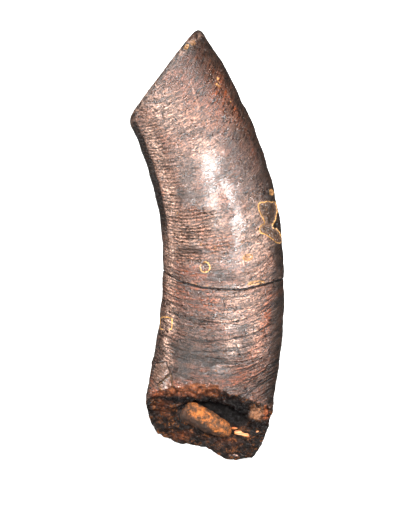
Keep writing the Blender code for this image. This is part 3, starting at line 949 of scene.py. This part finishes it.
@dataclass
class ToothSkin:
    """The whole tooth as one closed skin: a grid whose rows run from the facet's middle to the cavity's end."""

    form: Form = field(default_factory=Form)
    columns: int = 256
    facet_rows: int = 16
    border_rows: int = 7
    shaft_rows: int = 188
    crack_rows: int = 8
    stump_rows: int = 98
    break_rows: int = 36
    cavity_rows: int = 24
    crown_crowding: float = 0.4
    even_spacing: float = 1.22
    crack_half_width: float = 0.3
    crack_depth: float = 0.9
    hair_depth: float = 0.10
    arris_at: float = 2.3
    arris_height: float = 0.1
    gutter_at: float = 1.3
    gutter_depth: float = 0.3
    frill_reach: float = 3.6
    frill_height: float = 0.42
    ragged_reach: float = 0.5
    facet_span: float = 11.0

    def turns(self) -> Array:
        """Gives the columns' angles, closer together on top, with the first repeated at the end."""
        even = np.linspace(0, 2 * math.pi, self.columns + 1)
        angle = even + self.crown_crowding * np.cos(even)
        crowded = np.arctan2(*(power_of(part, self.even_spacing) for part in (np.sin(angle), np.cos(angle))))
        return np.where(crowded < 0, crowded + 2 * math.pi, crowded)

    def over(self, turn: Array) -> Array:
        """Gives 1 on the upper side and 0 on the underside, where the marks seen from above don't reach."""
        return smoothstep(-0.12, 0.12, np.sin(turn))

    def from_inner_edge(self, along: Array, turn: Array) -> Array:
        """Gives how far a place lies from the tooth's inner edge, measured across the axis, in millimetres."""
        across = power_of(np.cos(turn), self.form.exponent(turn))
        return self.form.law(self.form.half_width_law, along) * (1 + across)

    def fine_relief(self, along: Array, turn: Array, points: Array) -> Array:
        """Gives the relief that the CAD solid leaves out: growth lines, lumps, frills, chips and hairlines."""
        lined = np.stack([points[..., 0] / 11, self.form.growth(along, turn), points[..., 2] / 11], -1)
        root = smoothstep(5, -25, along)
        lines = (0.04 + 0.06 * root) * noise_at(lined, (1, 0.9, 11))
        lines += (0.05 + 0.09 * root) * noise_at(lined, (1, 2.3, 12))
        over = self.over(turn)
        edge = self.from_inner_edge(along, turn)
        arris = self.arris_height * hump(edge, self.arris_at, 0.6)
        arris -= self.gutter_depth * hump(edge, self.gutter_at, 0.45)
        grain = noise_at(points, (0.06, 2.4, 15), (0.06, 1.1, 16))
        crumple = smoothstep(-22, -36, along) * noise_at(points, (0.16, 1.9, 17), (0.11, 0.95, 20))
        frill = self.frill_height * smoothstep(self.frill_reach, 0.6, along - self.form.rim(turn))
        frills = frill * noise_at(points, (1, 1.5, 18), (0.5, 0.8, 19))
        sunk = self.hair_depth * smoothstep(0.35, 0.0, from_lines(HAIRLINES, points)[1]) * over
        for chip in CHIPS:
            sunk = np.maximum(sunk, chip.depth * smoothstep(0.15, -0.25, chip.distance(points)) * over)
        return lines + arris * smoothstep(-12, 4, along) * over + grain + crumple + frills - sunk

    def skin(self, along: Array, turn: Array, sink: float | Array = 0.0) -> Array:
        """Gives points of the skin with all of its relief, cut off flat where it rests on the table."""
        points = self.form.bare_skin(along, turn)
        height = self.form.relief(along, turn, points) + self.fine_relief(along, turn, points) - sink
        points = points + self.form.normals(along, turn) * height[..., None]
        points[..., 2] = np.clip(points[..., 2], 0, None)
        return points

    def tip(self, turn: Array) -> tuple[Array, Array, Array]:
        """Gives the rows of the worn facet and its rounded border.

        Args:
            turn: the columns' angles.

        Returns:
            The points, where each would lie along the axis, and where the shaft's first row runs.
        """
        form = self.form
        rounding = form.rounding(turn)
        borders, places = [], []
        for angle in np.linspace(math.pi / 2, 0, self.border_rows):
            along = form.facet_along(turn, rounding * (1 - math.sin(angle)))
            points = self.skin(along, turn)
            inward = points.mean(axis=0) - points
            inward /= np.linalg.norm(inward, axis=1, keepdims=True)
            borders.append(points + inward * (rounding * (1 - math.cos(angle)))[:, None])
            places.append(along)
        centre = borders[0].mean(axis=0)
        normal = np.array((*form.facet_normal, 0.0))
        rows, inside = [], []
        for share in np.linspace(0, 1, self.facet_rows, endpoint=False):
            basin = form.basin_depth * max(0.0, 1 - (share / 0.9) ** 2) - 0.22 * hump(share, 0.84, 0.07)
            row = centre + (borders[0] - centre) * share
            scars = noise_at(row, (0.09, 1.4, 23)) + noise_at(row * (1, 1, 0.25), (0.05, 0.6, 24))
            rows.append(row - normal * (basin - scars * min(1, 4 * share))[:, None])
            inside.append(places[0] + self.facet_span * (1 - share))
        return np.stack(rows + borders), np.stack(inside + places), form.facet_along(turn, rounding)

    def root(self, turn: Array, rim_row: Array) -> Array:
        """Gives the rows of the broken wall and the pulp cavity, from the broken edge to the cavity's end."""
        form = self.form
        lip_along = form.lip_along + form.lip_swing * np.sin(turn)
        lip = form.cavity(lip_along, turn)
        rows = []
        for share in np.arange(1, self.break_rows + 1) / self.break_rows:
            points = rim_row + (lip - rim_row) * share
            fade = math.sin(math.pi * (0.15 + 0.85 * share))
            rough = fade * noise_at(points, (form.break_roughness, 4.5, 4))
            rough += noise_at(points, (0.46, 1.5, 25), (0.24, 0.7, 26)) * (1 + 0.7 * self.over(turn))
            points = points + np.array(form.break_normal) * rough[:, None]
            points[:, 2] = np.clip(points[:, 2], 0, None)
            rows.append(points)
        for share in np.arange(1, self.cavity_rows + 1) / self.cavity_rows:
            along = lip_along + (form.cavity_apex - lip_along) * share
            points = form.cavity(along, turn)
            inward = form.cavity(along, turn + math.pi) - points
            inward /= np.maximum(np.linalg.norm(inward, axis=1, keepdims=True), 1e-6)
            rough = (1 - share) * noise_at(points, (0.25, 1.8, 27), (0.12, 0.8, 28))
            rows.append(points + inward * rough[:, None])
        return np.stack(rows)

    def all_rows(self) -> tuple[Array, Array, Array, Array]:
        """Works out every row of the grid.

        Returns:
            The points, where each lies along and round the tooth, and how far into the broken root it is: 0 on the
            skin, 1 on the break, and from 1 to 2 down the cavity.
        """
        turn, form = self.turns(), self.form
        tip, tip_along, top = self.tip(turn)
        crack = form.crack(turn)
        rim = form.rim(turn) + ring_noise(turn, 19, (0.45, 1.6, 21), (0.25, 0.7, 22))
        even = np.linspace(0, 1, self.shaft_rows + 1)[1:, None]
        shaft = top + (crack + self.crack_half_width - top) * even * (1.32 - 0.32 * even)
        groove = np.linspace(1, -1, self.crack_rows + 1)[1:, None]
        cleft = crack + self.crack_half_width * groove
        depth = self.crack_depth * (0.45 + 0.55 * np.abs(np.sin(turn)))
        stump = cleft[-1] + (rim - cleft[-1]) * np.linspace(0, 1, self.stump_rows + 1)[1:, None]
        shaft_along = np.concatenate([shaft, cleft, stump])
        sink = np.concatenate([0 * shaft, depth * (1 - np.abs(groove)) ** 0.7, 0 * stump])
        outer = self.skin(shaft_along, np.broadcast_to(turn, shaft_along.shape), sink)
        root = self.root(turn, outer[-1])
        points = np.concatenate([tip, outer, root])
        along = np.concatenate([tip_along, shaft_along, np.broadcast_to(rim, root.shape[:2])])
        ragged = self.ragged_reach - 1.4 + noise_at(outer, (1.1, 3.0, 29), (0.7, 1.2, 30))
        broken = np.zeros(points.shape[:2])
        broken[len(tip) : len(tip) + len(outer)] = shaft_along - rim < 1.4 + ragged * self.over(turn)
        broken[len(tip) + len(outer) - 1] = 0.6
        broken[len(tip) + len(outer) :] = 1
        broken[-self.cavity_rows :] += np.linspace(0, 1, self.cavity_rows + 1)[1:, None]
        return points, along, np.broadcast_to(turn, along.shape), broken

    def attributes(self, points: Array, along: Array, turn: Array, broken: Array) -> dict[str, Array]:
        """Works out what the material reads at each point.

        Args:
            points: the grid's points.
            along: where each lies along the axis.
            turn: where each lies round the axis.
            broken: how far into the broken root each is.

        Returns:
            Seven fields of three values each, by name.
        """
        form, over, seen, none = self.form, self.over(turn), as_seen(points), np.zeros(along.shape)
        warp = np.stack([noise_at(points, (1, 3.0, 31)), noise_at(points, (1, 3.0, 32)), none], -1)
        fine_warp = np.stack([noise_at(points, (0.12, 0.9, 37)), noise_at(points, (0.12, 0.9, 38)), none], -1)
        loose = seen + 0.9 * warp
        fissure = along - form.crack(turn) + noise_at(points, (0.12, 1.5, 33))
        nearest, rim, gold, fresh, film = none + FAR, none, none, none, none
        steep = 1 / np.clip(np.abs(form.normals(np.clip(along, -70, 60), turn)[..., 2]), 0.6, 1)
        for chip in CHIPS:
            distance = chip.distance(seen + 0.12 * warp + fine_warp) * steep + 6 * (1 - over)
            ours = distance < nearest
            nearest = np.where(ours, distance, nearest)
            strength = chip.rim
            if chip.gap_at:
                x, y = plan(*chip.gap_at)
                strength = strength * smoothstep(0.6, 1.6, np.hypot(seen[..., 0] - x, seen[..., 1] - y))
            rim = np.where(ours, strength, rim)
            gold = np.where(ours, chip.glow * (chip.fill is Fill.GOLD), gold)
            fresh = np.where(ours, chip.glow * (chip.fill is Fill.FRESH), fresh)
            film = np.where(ours, chip.glow * (chip.fill is Fill.FILM), film)
        brow = form.facet_along(turn[0], form.rounding(turn[0])) - along
        worn = 0.5 * smoothstep(1.8, 0.6, np.abs(brow)) * (broken == 0)
        worn = np.maximum(worn, 0.5 * smoothstep(0.7, 0.15, np.abs(fissure - 0.35))) * over
        wrinkled = np.maximum(total(WRINKLES, loose), 0.45 * smoothstep(6.5, 5.0, self.from_inner_edge(along, turn)))
        wrinkled = (0.2 + (wrinkled - 0.2) * over) * (0.65 + noise_at(points, (0.6, 4.0, 14)))
        height = np.clip(self.fine_relief(along, turn, points) / 0.18, -1, 1)
        fields = {
            "lay": (form.growth(along, turn), fissure, np.clip(broken, 0, 1)),
            "chip": (np.clip(nearest, -6, 6), rim, gold),
            "fills": (fresh, film, worn),
            "wear": (wrinkled, height, 0.35 + 0.65 * smoothstep(5, -25, along)),
        }
        polish = total(POLISH, loose) * over
        for name, lines, strength, third in (("lines", HAIRLINES, 0.75, none), ("scratch", SCRATCHES, 0.45, polish)):
            signed, plain = from_lines(lines, seen + 0.3 * warp + fine_warp)
            fields[name] = (np.clip(signed, -6, 6), strength * smoothstep(1.1, 0.5, plain) * over, third)
        stain_and_painted_light = self.stains(seen, loose, along, turn, broken)
        return {"stain_and_painted_light": stain_and_painted_light, **{name: np.stack(values, -1) for name, values in fields.items()}}

    def stains(self, seen: Array, loose: Array, along: Array, turn: Array, broken: Array) -> Array:
        """Works out the stains: those that the photograph shows on top, others like them out of its sight, and
        painted shade and highlight.

        Args:
            seen: the points as the camera sees them.
            loose: the same, warped so that no patch has a plain outline.
            along: where each point lies along the axis.
            turn: where each lies round the axis.
            broken: how far into the broken root each is.

        Returns:
            How much iron, pale film with painted highlight, and manganese with painted shade each point has.
        """
        hidden = np.stack([noise_at(seen + (0, 0, 40), (1, 9.0, seed)) for seed in (34, 35, 36)], -1)
        hidden = 0.7 * smoothstep(0.05, 0.5, hidden)
        skin, wall = (
            np.stack([total(stains[kind], loose) for kind in Stain], -1) for stains in (SKIN_STAINS, WALL_STAINS)
        )
        edge = self.from_inner_edge(along, turn)
        below = self.form.facet_along(turn[0], self.form.rounding(turn[0])) - along
        crown = smoothstep(-2, 12, along) * smoothstep(0.0, 0.8, below)
        outer = 2 * self.form.law(self.form.half_width_law, along) - edge
        # A painted highlight along the lit ridge beside the inner edge's steep flank.
        painted_ridge_highlight = 0.3 * hump(edge, 3.0, 0.9) * smoothstep(-30, 0, along) * smoothstep(45, 35, along)
        # The three dark covers are painted shade laid into the manganese kind: a band on the inner edge's steep
        # flank, a band down the outer edge, and a thin line along the facet's border, where the surface turns away
        # from the light.
        for kind, cover in (
            (Stain.MANGANESE, 1.25 * smoothstep(1.95, 1.6, edge + noise_at(seen, (0.12, 1.2, 39))) * crown),
            (Stain.MANGANESE, 0.92 * smoothstep(4.4, 1.7, outer + noise_at(seen, (0.7, 4.0, 40)))),
            (Stain.MANGANESE, 0.9 * smoothstep(0.7, 0.3, np.abs(below))),
            (Stain.PALE, painted_ridge_highlight),
        ):
            skin[..., kind.value] = np.maximum(skin[..., kind.value], cover)
        # The whole pulp cavity past the lip is painted black as shade.
        soot_and_shadow = Stain.MANGANESE.value
        wall[..., soot_and_shadow] = np.maximum(wall[..., soot_and_shadow], smoothstep(1.0, 1.12, broken))
        stain_and_painted_light = hidden + (skin - hidden) * self.over(turn)[..., None]
        return np.where((broken > 0.5)[..., None], wall, stain_and_painted_light)

    def build(self) -> bpy.types.Object:
        """Builds the piece from a grid, closes its seam and ends, and gives the break the second material."""
        points, along, turn, broken = self.all_rows()
        rows = points.shape[0] - 1
        shape = bmesh.new()
        bmesh.ops.create_grid(shape, x_segments=self.columns, y_segments=rows, size=1)
        grid = bpy.data.meshes.new("grid")
        shape.to_mesh(grid)
        flat = np.empty(len(grid.vertices) * 3)
        grid.vertices.foreach_get("co", flat)
        column = np.rint((flat[0::3] + 1) / 2 * self.columns).astype(int)
        row = np.rint((1 - flat[1::3]) / 2 * rows).astype(int)
        grid.vertices.foreach_set("co", (points[row, column] * MM).astype(np.float32).ravel())
        for name, values in self.attributes(points, along, turn, broken).items():
            layer = grid.attributes.new(name, "FLOAT_VECTOR", "POINT")
            layer.data.foreach_set("vector", values[row, column].astype(np.float32).ravel())
        shape.clear()
        shape.from_mesh(grid)
        bpy.data.meshes.remove(grid)
        made = placed("tooth_skin", shape)
        lay = np.empty(len(made.data.vertices) * 3)
        made.data.attributes["lay"].data.foreach_get("vector", lay)
        for face in made.data.polygons:
            face.material_index = int(min(lay[3 * corner + 2] for corner in face.vertices) > 0.5)
        return made


@dataclass
class Sediment:
    """The mound of silt in the root, and the bright splinters of calcite beside it.

    A splinter is given by its middle's pixel, its half length and half width in pixels, and its lean in degrees.
    """

    form: Form = field(default_factory=Form)
    centre: tuple[float, float, float] = (-0.2, -52.9, 7.0)
    half_sizes: tuple[float, float, float] = (7.3, 2.95, 3.4)
    turned: float = math.radians(-28)
    clearance: float = 0.35
    flatness: float = 0.7
    lean: float = 0.5
    skirt: float = 0.4
    segments: tuple[int, int] = (180, 90)
    splinters: tuple[tuple[float, float, float, float, float], ...] = (
        *((235.3, 428.6, 3.9, 1.1, -3), (243.2, 434.2, 9.0, 1.5, -6), (240.5, 432.2, 6.2, 1.2, -4)),
        *((247.0, 436.0, 5.4, 1.0, -7), (257.5, 431.5, 1.6, 1.0, 10)),
    )

    def floor(self, x: float, y: float) -> float:
        """Gives the height of the cavity's floor under a point."""
        form = self.form
        along = np.linspace(form.cavity_mouth - 8, form.cavity_apex, 200)
        axis_x, axis_y, across_x, across_y = form.on_axis(along)
        nearest = int(np.argmin((axis_x - x) ** 2 + (axis_y - y) ** 2))
        across = (x - axis_x[nearest]) * across_x[nearest] + (y - axis_y[nearest]) * across_y[nearest]
        share = (form.cavity_apex - along[nearest]) / (form.cavity_apex - form.cavity_mouth)
        size = share**form.cavity_taper
        across = (across - form.cavity_offset) / (form.cavity_half_width * size)
        return form.cavity_height - form.cavity_half_height * size * math.sqrt(max(0.0, 1 - across**2))

    def mound(self) -> bpy.types.Object:
        """Builds the mound: a tongue with one square end and a flat top that falls away on its near side."""
        shape = bmesh.new()
        bmesh.ops.create_uvsphere(shape, u_segments=self.segments[0], v_segments=self.segments[1], radius=1)
        edge = shape.verts.layers.float.new("edge")
        cosine, sine = math.cos(self.turned), math.sin(self.turned)
        for vert in shape.verts:
            part = vert.co.copy()
            angle = math.atan2(part.y, part.x)
            corner = 2.6 + 3.4 * max(0.0, -math.cos(angle))
            square = (abs(math.cos(angle)) ** corner + abs(math.sin(angle)) ** corner) ** (-1 / corner)
            foot = 1 + self.skirt * max(0.0, 0.3 - part.z) * (0.7 - 0.3 * part.y)
            across = part.x * square * foot * self.half_sizes[0]
            deep = part.y * square * foot * self.half_sizes[1] * (1 - 0.12 * part.x)
            up = math.copysign(abs(part.z) ** self.flatness, part.z) * self.half_sizes[2]
            x = self.centre[0] + across * cosine - deep * sine
            y = self.centre[1] + across * sine + deep * cosine
            spot = Vector((x, y, up))
            rough = 0.6 * noise.noise(spot / 3.4) + 0.45 * noise.noise(spot / 1.4) + 0.3 * noise.noise(spot / 0.6)
            height = self.centre[2] + up + self.lean * part.y + rough * max(0.0, part.z) ** 0.3
            side = 0.8 * rough * (1 - abs(part.z))
            x, y = x + side * part.x, y + side * part.y
            vert.co = Vector((x, y, max(height, self.floor(x, y) + self.clearance))) * MM
            # The edge mask greys the lower-left flank, which turns away from the light: partly a grey skin, partly
            # painted shade.
            low = -part.y - 0.5 * part.x - 0.2 + 0.4 * noise.noise(spot / 2.0) + 0.3 * noise.noise(spot / 0.7)
            vert[edge] = max(0.0, min(0.9, low * 2.5))
        return placed("silt_mound", shape)

    def calcite(self, tooth: bpy.types.Object) -> bpy.types.Object:
        """Builds the splinters, each a flattened spindle that lies on the tooth below it."""
        surface = BVHTree.FromObject(tooth, bpy.context.evaluated_depsgraph_get())
        shape = bmesh.new()
        for x_pixel, y_pixel, reach_x, reach_y, lean in self.splinters:
            x, y = plan(x_pixel, y_pixel)
            hit = surface.ray_cast(Vector((x, y, 60)) * MM, Vector((0, 0, -1)))[0]
            made = bmesh.ops.create_uvsphere(shape, u_segments=24, v_segments=16, radius=1)
            half = (reach_x * MM_PER_PIXEL, reach_y * MM_PER_PIXEL)
            cosine, sine = math.cos(math.radians(lean)), math.sin(math.radians(lean))
            for vert in made["verts"]:
                part = vert.co.copy()
                across, deep = part.x * half[0], part.y * half[1] * (1 - 0.35 * part.x)
                up = 0.5 * part.z * half[1] + 0.12 * noise.noise(Vector((across / 4, deep / 0.4, x_pixel)))
                spot = (x + across * cosine - deep * sine, y + across * sine + deep * cosine)
                vert.co = Vector((*spot, hit.z / MM + 0.25 * half[1] + up)) * MM
        return placed("calcite_splinters", shape)


@dataclass
class Studio:
    """The stage: a pale table top, soft lights and a camera that looks straight down.

    A light is given by its name, its place, its width and height in metres, and its power in watts.
    """

    table_reach: float = 3.0
    table: str = "#f4f3f1"
    table_roughness: float = 0.9
    table_glow: float = 0.6
    world_grey: float = 0.5
    world_strength: float = 0.2
    lights: tuple[tuple[str, tuple[float, float, float], tuple[float, float], float], ...] = (
        ("window", (-0.36, 0.06, 0.68), (0.28, 0.28), 3.3),
        ("overhead", (0.0, 0.07, 0.75), (0.10, 0.12), 8.2),
        ("strip", (0.168, 0.05, 0.75), (0.08, 0.26), 6.6),
        ("bridge", (0.085, 0.11, 0.75), (0.05, 0.08), 1.2),
        ("low", (0.04, -0.13, 0.75), (0.06, 0.07), 0.5),
        ("side", (0.60, 0.05, 0.45), (0.24, 0.24), 1.3),
    )

    def camera(self) -> None:
        """Adds the camera, framed as the photograph."""
        data = bpy.data.cameras.new("camera")
        data.lens, data.sensor_width = LENS, SENSOR
        data.clip_start, data.clip_end = 0.01, 20.0
        x, y = plan(PHOTO_SIZE[0] / 2, PHOTO_SIZE[1] / 2)
        eye = bpy.data.objects.new("camera", data)
        eye.location = Vector((x, y, WIDEST_LINE + CAMERA_DISTANCE)) * MM
        bpy.context.scene.collection.objects.link(eye)
        bpy.context.scene.camera = eye

    def floor(self) -> None:
        """Adds the table top, which glows a little so that it stays pale under the tooth."""
        shape = bmesh.new()
        bmesh.ops.create_grid(shape, x_segments=1, y_segments=1, size=self.table_reach / 2)
        top = placed("table", shape)
        mix = Recipe("table")
        for name, value in (
            *(("Base Color", linear(self.table)), ("Roughness", self.table_roughness)),
            *(("Emission Color", linear(self.table)), ("Emission Strength", self.table_glow)),
        ):
            mix.give(mix.shader[name], value)
        top.data.materials.append(mix.material)
        top.visible_glossy = top.visible_diffuse = False

    def light(self) -> None:
        """Adds the soft boxes, each facing the tooth, and the world's faint grey."""
        for name, at, size, power in self.lights:
            data = bpy.data.lights.new(name, "AREA")
            data.shape = "RECTANGLE"
            data.size, data.size_y = size
            data.energy = power
            lamp = bpy.data.objects.new(name, data)
            lamp.location = at
            lamp.rotation_euler = (-Vector(at)).to_track_quat("-Z", "Y").to_euler()
            bpy.context.scene.collection.objects.link(lamp)
        world = bpy.context.scene.world = bpy.data.worlds.new("studio")
        world.use_nodes = True
        background = world.node_tree.nodes["Background"].inputs
        background["Color"].default_value = (*[self.world_grey] * 3, 1)
        background["Strength"].default_value = self.world_strength

    def build(self) -> None:
        """Sets up the whole stage."""
        self.camera()
        self.floor()
        self.light()
        bpy.context.scene.view_settings.view_transform = "Standard"


def corners(box: tuple[Vector, Vector]) -> list[list[float]]:
    """Gives a box's two corners as plain lists."""
    return [list(corner) for corner in box]


def main() -> None:
    """Loads the frame, builds the tooth, its sediment and the studio, and reports each piece."""
    logging.basicConfig(level=logging.INFO, format="%(name)s: %(message)s")
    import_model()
    silt = CementedSilt().make()
    tooth = ToothSkin().build()
    tooth.data.materials.append(MineralisedDentine().make())
    tooth.data.materials.append(BrokenDentine().make())
    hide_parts("tooth")
    mound = Sediment().mound()
    mound.data.materials.append(silt)
    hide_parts("sediment")
    splinters = Sediment().calcite(tooth)
    splinters.data.materials.append(Calcite().make())
    for piece in (tooth, mound, splinters):
        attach(piece, "root")
        LOG.info("%s has %d faces", piece.name, len(piece.data.polygons))
    Studio().build()


if __name__ == "__main__":
    main()
